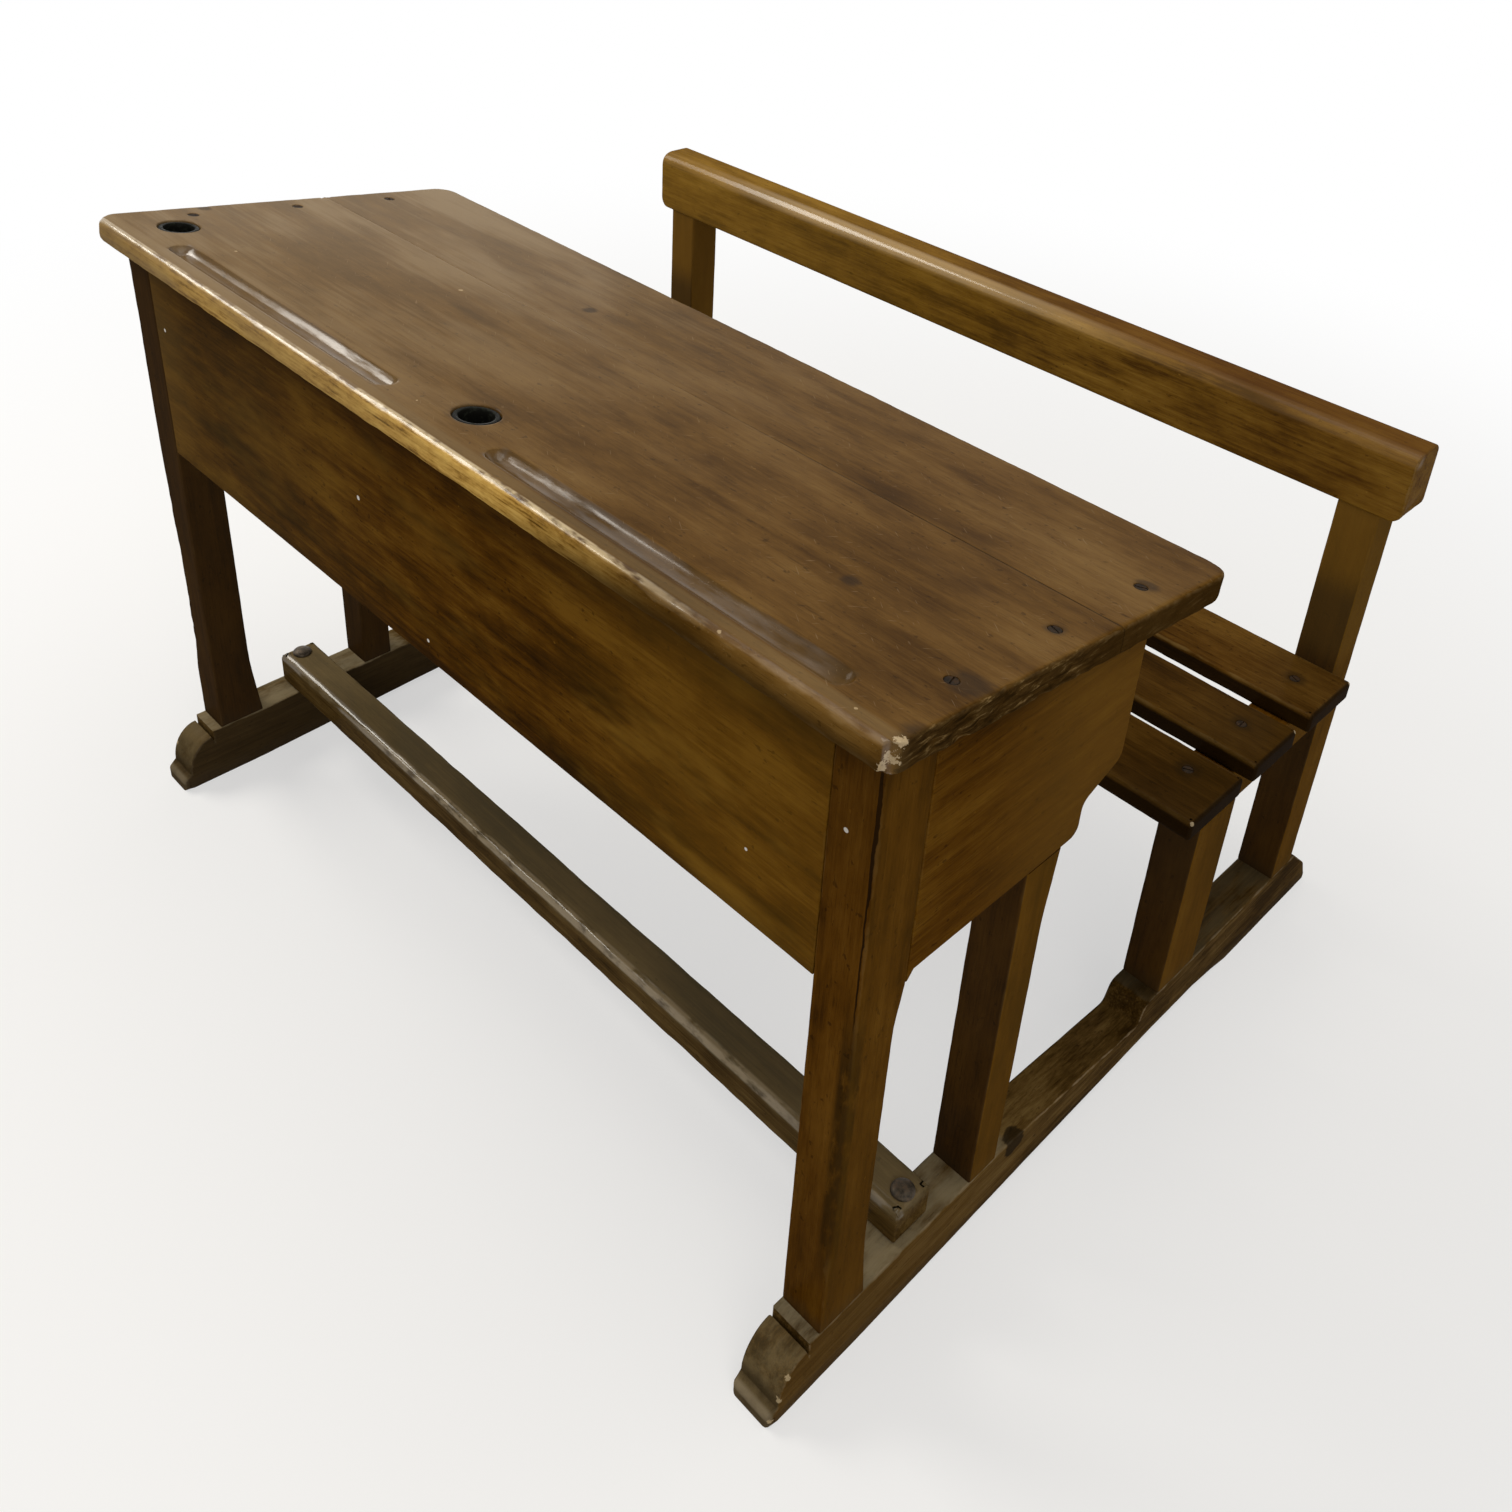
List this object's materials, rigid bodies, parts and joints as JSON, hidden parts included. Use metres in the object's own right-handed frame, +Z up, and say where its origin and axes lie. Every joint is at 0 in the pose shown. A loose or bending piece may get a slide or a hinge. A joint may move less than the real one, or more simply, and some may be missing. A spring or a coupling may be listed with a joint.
{
  "type": "school desk",
  "caption": "Two-seat wooden school desk with a sloping top, book compartment, inkwells, pen grooves, foot bar and a slatted bench joined to it by floor runners.",
  "frame": {"origin": "on the floor, at the middle of the desk's bounding box in plan", "axes": "+X along the desktop to the right of someone facing the desk's tall edge, +Y from the tall edge to the bench, +Z up"},
  "size_m": [0.984, 0.815, 0.6392],
  "materials": {
    "desktop_wood": "satin, worn",
    "panel_wood": "satin",
    "frame_wood": "satin, scuffed",
    "worn_wood": "worn, matt",
    "backrest_wood": "satin",
    "seat_wood": "satin",
    "inside_wood": "matt",
    "dark_steel": "dull, darkened",
    "black_glaze": "gloss"
  },
  "bodies": {
    "desk": {"backrest_rail": "backrest_wood", "backrest_screw_left": "dark_steel", "backrest_screw_right": "dark_steel", "bench_front_post_left": "frame_wood", "bench_front_post_right": "frame_wood", "bench_rear_post_left": "frame_wood", "bench_rear_post_right": "frame_wood", "book_shelf": "inside_wood", "cleat_screw_left_front": "dark_steel", "cleat_screw_left_rear": "dark_steel", "cleat_screw_right_front": "dark_steel", "cleat_screw_right_rear": "dark_steel", "desktop_front_board": "desktop_wood", "desktop_rear_board": "desktop_wood", "desktop_screw_left_1": "dark_steel", "desktop_screw_left_2": "dark_steel", "desktop_screw_left_3": "dark_steel", "desktop_screw_right_1": "dark_steel", "desktop_screw_right_2": "dark_steel", "desktop_screw_right_3": "dark_steel", "end_panel_left": "panel_wood", "end_panel_right": "panel_wood", "foot_bar": "worn_wood", "foot_bar_bolt_left": "dark_steel", "foot_bar_bolt_right": "dark_steel", "foot_bar_nut_left": "dark_steel", "foot_bar_nut_right": "dark_steel", "front_leg_left": "frame_wood", "front_leg_right": "frame_wood", "front_panel": "panel_wood", "rear_upright_left": "frame_wood", "rear_upright_right": "frame_wood", "runner_left": "frame_wood", "runner_right": "frame_wood", "seat_bearer_left": "frame_wood", "seat_bearer_right": "frame_wood", "seat_front_screw_left": "dark_steel", "seat_front_screw_right": "dark_steel", "seat_middle_screw_left": "dark_steel", "seat_middle_screw_right": "dark_steel", "seat_rear_screw_left": "dark_steel", "seat_rear_screw_right": "dark_steel", "seat_slat_front": "seat_wood", "seat_slat_middle": "seat_wood", "seat_slat_rear": "seat_wood", "shelf_cleat_front": "inside_wood", "shelf_cleat_left": "inside_wood", "shelf_cleat_right": "inside_wood"},
    "inkwell_cup_left": {"inkwell_left": "black_glaze"},
    "inkwell_cup_right": {"inkwell_right": "black_glaze"}
  },
  "joints": [
    {"name": "inkwell_left_lift", "type": "slide", "parent": "desk", "child": "inkwell_cup_left", "axis": [0, 0.1316, 0.9913], "range_m": [0, 0.045]},
    {"name": "inkwell_right_lift", "type": "slide", "parent": "desk", "child": "inkwell_cup_right", "axis": [0, 0.1316, 0.9913], "range_m": [0, 0.045]}
  ]
}
